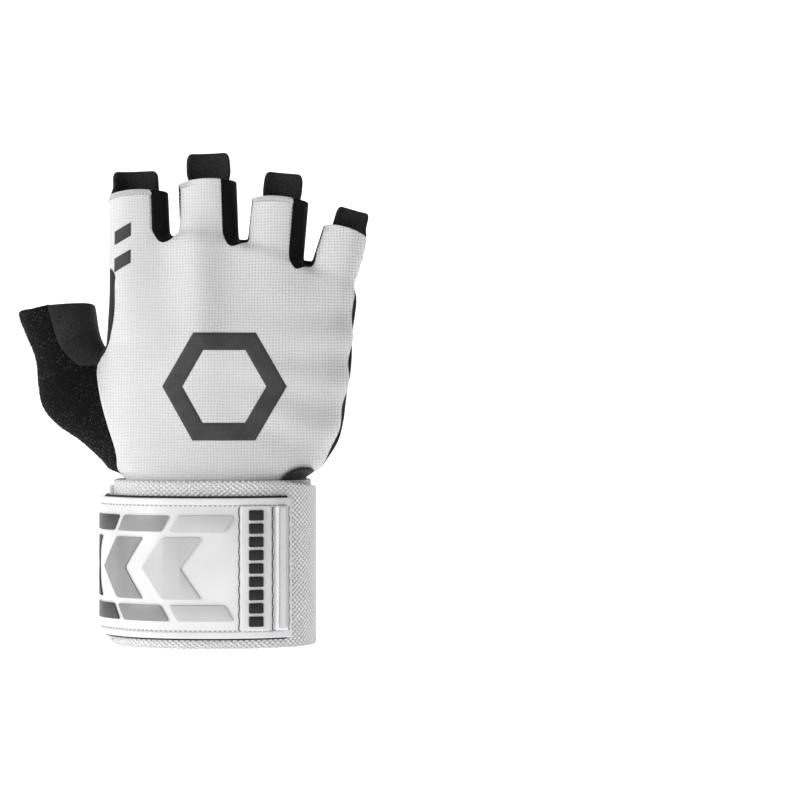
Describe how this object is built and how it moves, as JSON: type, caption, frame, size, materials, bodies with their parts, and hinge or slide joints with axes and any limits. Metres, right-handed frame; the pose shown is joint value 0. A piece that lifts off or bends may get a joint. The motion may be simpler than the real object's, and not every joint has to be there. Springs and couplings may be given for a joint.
{
  "type": "weightlifting glove",
  "caption": "Right-hand half-finger weightlifting glove in white mesh and black suede with a knitted wrist wrap and a chevron-patterned strap.",
  "frame": {"origin": "middle of the wrist opening, at the lower edge of the wrist wrap", "axes": "+Z towards the fingertips, -Y out of the back of the hand, +Y out of the palm, -X towards the thumb"},
  "size_m": [0.1403, 0.0633, 0.1974],
  "materials": {
    "white_mesh": "fine woven mesh",
    "suede": "synthetic suede, napped",
    "gusset_cloth": "smooth stretch cloth",
    "towelling": "looped terry",
    "knitted_band": "coarse elastic knit",
    "hook_tape": "hook and loop tape",
    "white_rubber": "moulded, satin",
    "inlay_light": "moulded, satin",
    "inlay_middle": "moulded, satin",
    "inlay_dark": "moulded, satin",
    "black_rubber": "moulded, satin",
    "label": "folded woven tape"
  },
  "bodies": {
    "root": {"back_panel": "white_mesh", "palm_panel": "suede", "fourchette_index_middle": "gusset_cloth", "fourchette_middle_ring": "gusset_cloth", "fourchette_ring_little": "gusset_cloth", "thumb_gusset": "gusset_cloth", "thumb_back_panel": "towelling", "thumb_palm_panel": "suede", "wrist_wrap": "knitted_band", "hook_tape": "hook_tape", "closure_patch": "white_rubber", "chevron_light": "inlay_light", "chevron_middle": "inlay_middle", "chevron_dark": "inlay_dark", "bar_upper_light": "inlay_light", "bar_upper_middle": "inlay_middle", "bar_upper_dark": "inlay_dark", "bar_lower_light": "inlay_light", "bar_lower_middle": "inlay_middle", "bar_lower_dark": "inlay_dark", "end_plate": "white_rubber", "end_rib": "white_rubber", "stud_1": "black_rubber", "stud_2": "black_rubber", "stud_3": "black_rubber", "stud_4": "black_rubber", "stud_5": "black_rubber", "stud_6": "black_rubber", "stud_7": "black_rubber", "stud_8": "black_rubber", "stud_9": "black_rubber", "side_label": "label"}
  },
  "joints": []
}
